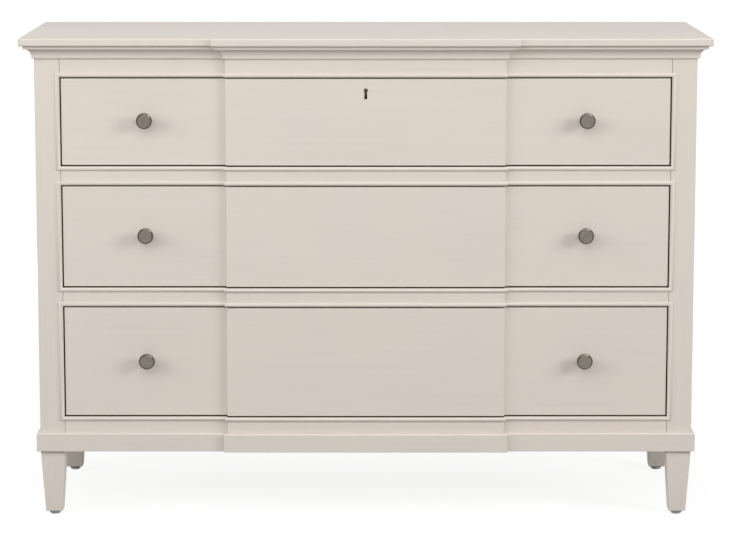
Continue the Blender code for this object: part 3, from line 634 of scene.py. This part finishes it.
FLOOR_SIZE = 120.0
FLOOR_NEAR = (1.5, 0.87)     # distance from the middle, and how far the floor glows towards white there
FLOOR_FAR = (6.0, 1.0)
FLOOR_SHADE = 0.20           # share of real shading that the camera sees, which keeps the shadow
FLOOR_COLOUR = (0.30, 0.295, 0.29, 1)
AMBIENT = 0.32
FRONT_MIDDLE = (0.0, -0.2, 0.55)
LAMPS = {                    # place, aim, width and height, and watts
    "key_right": ((4.50, -2.80, 2.20), FRONT_MIDDLE, (2.2, 1.6), 127),
    "key_left": ((-3.60, -1.95, 1.75), FRONT_MIDDLE, (2.0, 1.4), 40),
    "front": ((-0.70, -2.50, 2.30), (-0.1, -0.2, 0.8), (4.4, 2.4), 51),
    "overhead": ((0.0, 0.1, 3.00), (0.0, 0.0, 0.9), (1.6, 1.0), 5),
    "glint": ((1.50, -1.15, 2.60), FRONT_MIDDLE, (1.4, 1.0), 29),
    "sky": ((0.0, -1.60, 2.90), (0.0, -0.25, 0.5), (3.0, 1.6), 33),
    "rear_fill": ((0.0, 3.2, 0.55), (0.0, 0.2, 0.55), (2.6, 0.8), 36),
}
NOT_MIRRORED = ("key_right", "key_left", "front", "rear_fill")    # would glare on the satin paint
ONLY_MIRRORED = ("glint", "sky")    # give the knobs their highlights
PHOTO_WIDTH = 730
SENSOR = 36.0
CAMERA_PLACE = (-0.0015, -5.60, 1.38)
CAMERA_PITCH = math.radians(8.457)
CAMERA_FOCUS = 2727.0        # in pixels of the photograph
CAMERA_SHIFT = -0.05
CAMERA_REACH = 200.0


def seen_directly(tree):
    """One for what the camera, a reflection or a clear view through shows, and zero for other light."""
    path = tree.nodes.new("ShaderNodeLightPath")
    total = path.outputs["Is Camera Ray"]
    for name in ("Is Glossy Ray", "Is Transmission Ray"):
        larger = tree.nodes.new("ShaderNodeMath")
        larger.operation = "MAXIMUM"
        tree.links.new(total, larger.inputs[0])
        tree.links.new(path.outputs[name], larger.inputs[1])
        total = larger.outputs[0]
    return total


def floor_material():
    """Diffuse to the light that it throws back, and near white with a faint shadow to the camera."""
    finish = Finish("pale_floor")
    tree = finish.tree
    tree.nodes.remove(finish.shader)
    distance = finish.length(finish.coordinates())
    glow = finish.remap(distance, FLOOR_NEAR[0], FLOOR_FAR[0], FLOOR_NEAR[1], FLOOR_FAR[1])
    shown = finish.node("ShaderNodeAddShader")
    emission = finish.node("ShaderNodeEmission", Strength=glow)
    tree.links.new(emission.outputs[0], shown.inputs[0])
    shade = finish.node("ShaderNodeBsdfDiffuse", Color=(FLOOR_SHADE, FLOOR_SHADE, FLOOR_SHADE, 1))
    tree.links.new(shade.outputs[0], shown.inputs[1])
    plain = finish.node("ShaderNodeBsdfDiffuse", Color=FLOOR_COLOUR)
    either = finish.node("ShaderNodeMixShader")
    tree.links.new(seen_directly(tree), either.inputs[0])
    tree.links.new(plain.outputs[0], either.inputs[1])
    tree.links.new(shown.outputs[0], either.inputs[2])
    tree.links.new(either.outputs[0], tree.nodes["Material Output"].inputs["Surface"])
    return finish.material


def make_floor():
    bm = bmesh.new()
    bmesh.ops.create_grid(bm, x_segments=1, y_segments=1, size=FLOOR_SIZE / 2)
    floor = loose("floor", bm)
    floor.data.materials.append(floor_material())


def make_world():
    """White to the camera and in reflections, and a soft ambient light to everything else."""
    world = bpy.data.worlds.new("studio")
    world.use_nodes = True
    tree = world.node_tree
    background = tree.nodes["Background"]
    background.inputs["Color"].default_value = (1, 1, 1, 1)
    strength = tree.nodes.new("ShaderNodeMapRange")
    strength.inputs["To Min"].default_value = AMBIENT
    strength.inputs["To Max"].default_value = 1.0
    tree.links.new(seen_directly(tree), strength.inputs["Value"])
    tree.links.new(strength.outputs["Result"], background.inputs["Strength"])
    bpy.context.scene.world = world


def make_lights():
    for name, (place, aim, (width, height), watts) in LAMPS.items():
        light = bpy.data.lights.new(name, "AREA")
        light.shape = "RECTANGLE"
        light.size = width
        light.size_y = height
        light.energy = watts
        lamp = bpy.data.objects.new(name, light)
        lamp.location = place
        lamp.rotation_euler = (Vector(aim) - Vector(place)).to_track_quat("-Z", "Y").to_euler()
        lamp.visible_camera = False
        lamp.visible_diffuse = name not in ONLY_MIRRORED
        lamp.visible_glossy = name not in NOT_MIRRORED
        bpy.context.scene.collection.objects.link(lamp)


def make_camera():
    data = bpy.data.cameras.new("photo_view")
    data.sensor_width = SENSOR
    data.lens = CAMERA_FOCUS * SENSOR / PHOTO_WIDTH
    data.shift_y = CAMERA_SHIFT
    data.clip_end = CAMERA_REACH
    camera = bpy.data.objects.new("photo_view", data)
    camera.location = CAMERA_PLACE
    camera.rotation_euler = (math.pi / 2 - CAMERA_PITCH, 0.0, 0.0)
    bpy.context.scene.collection.objects.link(camera)
    bpy.context.scene.camera = camera


make_camera()
make_world()
make_lights()
make_floor()
paint_case_and_fronts()
finish_inside()
make_knobs()
make_glides()
fix_slides()
fix_back()
fix_lock()
bpy.context.scene.view_settings.view_transform = "Standard"
